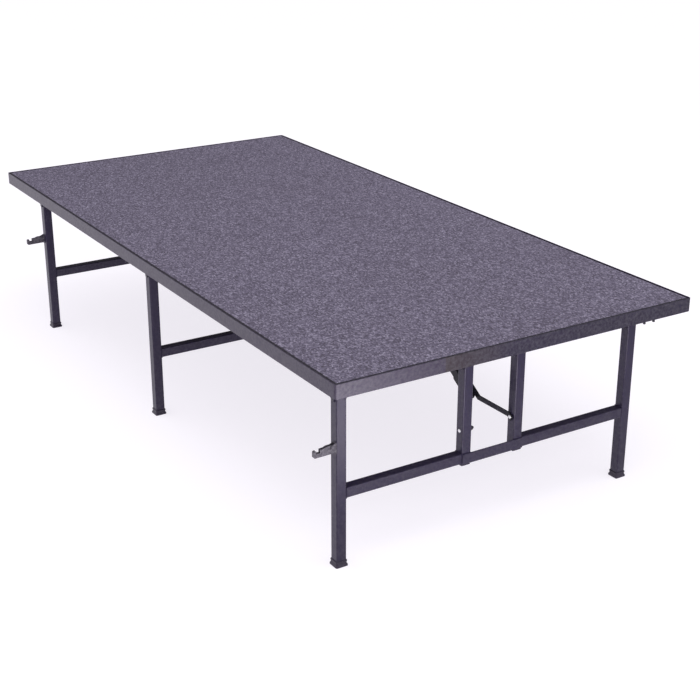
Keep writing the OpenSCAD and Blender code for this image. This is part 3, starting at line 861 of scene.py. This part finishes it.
HEAD_HEIGHT = 2.0 * MM
NUT_HEIGHT = 6.0 * MM
BOLT_TAIL = 11.0 * MM
RIVET_HEIGHT = 2.5 * MM
PAN_HEIGHT = 2.2 * MM
LONGEST_SHORT_BOLT = 30 * MM
button_head = turned("button_head", [
    (0, -2.5), (4.0, -2.5), (4.0, 0), (5.5, 0), (5.5, 0.5), (5.0, 1.2), (3.6, 1.8), (1.8, 2.1), (0, 2.2),
], 28)
hexagon = turned("hexagon", [(0, 0), (7.0, 0), (7.5, 0.5), (7.5, 5.5), (7.0, 6.0), (0, 6.0)], 6)
bolt_end = turned("bolt_end", [(0, 0), (4.0, 0), (4.0, 10.2), (3.2, 11.0), (0, 11.0)], 20)
rivet_head = turned("rivet_head", [
    (0, -0.4), (6.5, -0.4), (6.5, 0.4), (5.8, 1.4), (4.0, 2.1), (2.0, 2.4), (0, 2.5),
], 24)
recess = cross_cutter(4.4 * MM, 0.9 * MM, 1.0 * MM, 4.0 * MM)
pan_head = turned("pan_head", [
    (0, -13.0), (0.8, -12.0), (2.0, -9.0), (2.0, 0), (4.5, 0), (4.5, 0.9), (4.0, 1.7), (2.6, 2.1), (0, 2.2),
], 18, recess)

for count, s in enumerate(SETS):
    heads, nuts, ends = [], [], []
    for low, high in loose_boxes(f"brace_bolts_{s}"):
        middle = (low + high) / 2
        on_post = high[0] - low[0] > LONGEST_SHORT_BOLT
        nut_face = high[0] - (BOLT_TAIL if on_post else NUT_HEIGHT)
        heads.append(((low[0] + HEAD_HEIGHT, middle[1], middle[2]), (-1, 0, 0), ONE))
        nuts.append(((nut_face, middle[1], middle[2]), (1, 0, 0), ONE))
        if on_post:
            ends.append(((nut_face, middle[1], middle[2]), (1, 0, 0), ONE))
    body = f"leg_frame_{s}"
    bolts = [f"brace_bolts_{s}"]
    fasteners(f"bolt_heads_{s}", body, button_head, heads, zinc, 11 + count, bolts)
    fasteners(f"bolt_nuts_{s}", body, hexagon, nuts, dark_zinc, 21 + count)
    fasteners(f"bolt_ends_{s}", body, bolt_end, ends, dark_zinc, 31 + count)
    knuckle = []
    boxes = loose_boxes(f"knuckle_rivets_{s}")
    centre = sum(low[0] + high[0] for low, high in boxes) / (2 * len(boxes))
    for low, high in boxes:
        middle = (low + high) / 2
        out = 1 if middle[0] > centre else -1
        face = (high[0] if out > 0 else low[0]) - out * RIVET_HEIGHT
        knuckle.append(((face, middle[1], middle[2]), (out, 0, 0), ONE))
    fasteners(
        f"knuckle_heads_{s}", f"brace_lower_{s}", rivet_head, knuckle, dull_zinc, 41 + count,
        [f"knuckle_rivets_{s}"],
    )

screws = [
    (((low[0] + high[0]) / 2, (low[1] + high[1]) / 2, low[2] + PAN_HEIGHT), (0, 0, -1), ONE)
    for low, high in loose_boxes("deck_screws")
]
fasteners("panel_screws", "deck", pan_head, screws, zinc, 5, ["deck_screws"])
for part in (button_head, hexagon, bolt_end, rivet_head, pan_head, recess):
    bpy.data.objects.remove(part)


# ---------------------------------------------------------------------------
# Pins and joining bolts. Blackened steel: the headed pins that the legs and braces turn on, and the
# two bolts with nuts that hang from the front shelf and draw the next deck up.
# ---------------------------------------------------------------------------
pin_black = powder_coat("pin_black", (0.010, 0.009, 0.014), (0.10, 0.10, 0.11), 0.3)
for s in SETS:
    softened(f"hinge_pins_{s}", 0.4 * MM, pin_black, shortest=HOLE_EDGE)
softened("joining_bolts", 0.4 * MM, pin_black, shortest=HOLE_EDGE)


# ---------------------------------------------------------------------------
# Side hooks. A pressed plate with two ears on the left leg, and a folded arm with an upward notch
# near its tip that swings up on a pin. Grey enamel over steel, scuffed where things hang.
# ---------------------------------------------------------------------------
hook_coat = powder_coat("hook_coat", (0.012, 0.009, 0.018), (0.18, 0.175, 0.19), 0.42, gloss=0.4)
for s in "ac":
    softened(f"hook_plate_{s}", 0.3 * MM, hook_coat)
    softened(f"hook_arm_{s}", 0.3 * MM, hook_coat)
    softened(f"hook_pin_{s}", 0.2 * MM, hook_coat)

low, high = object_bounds()
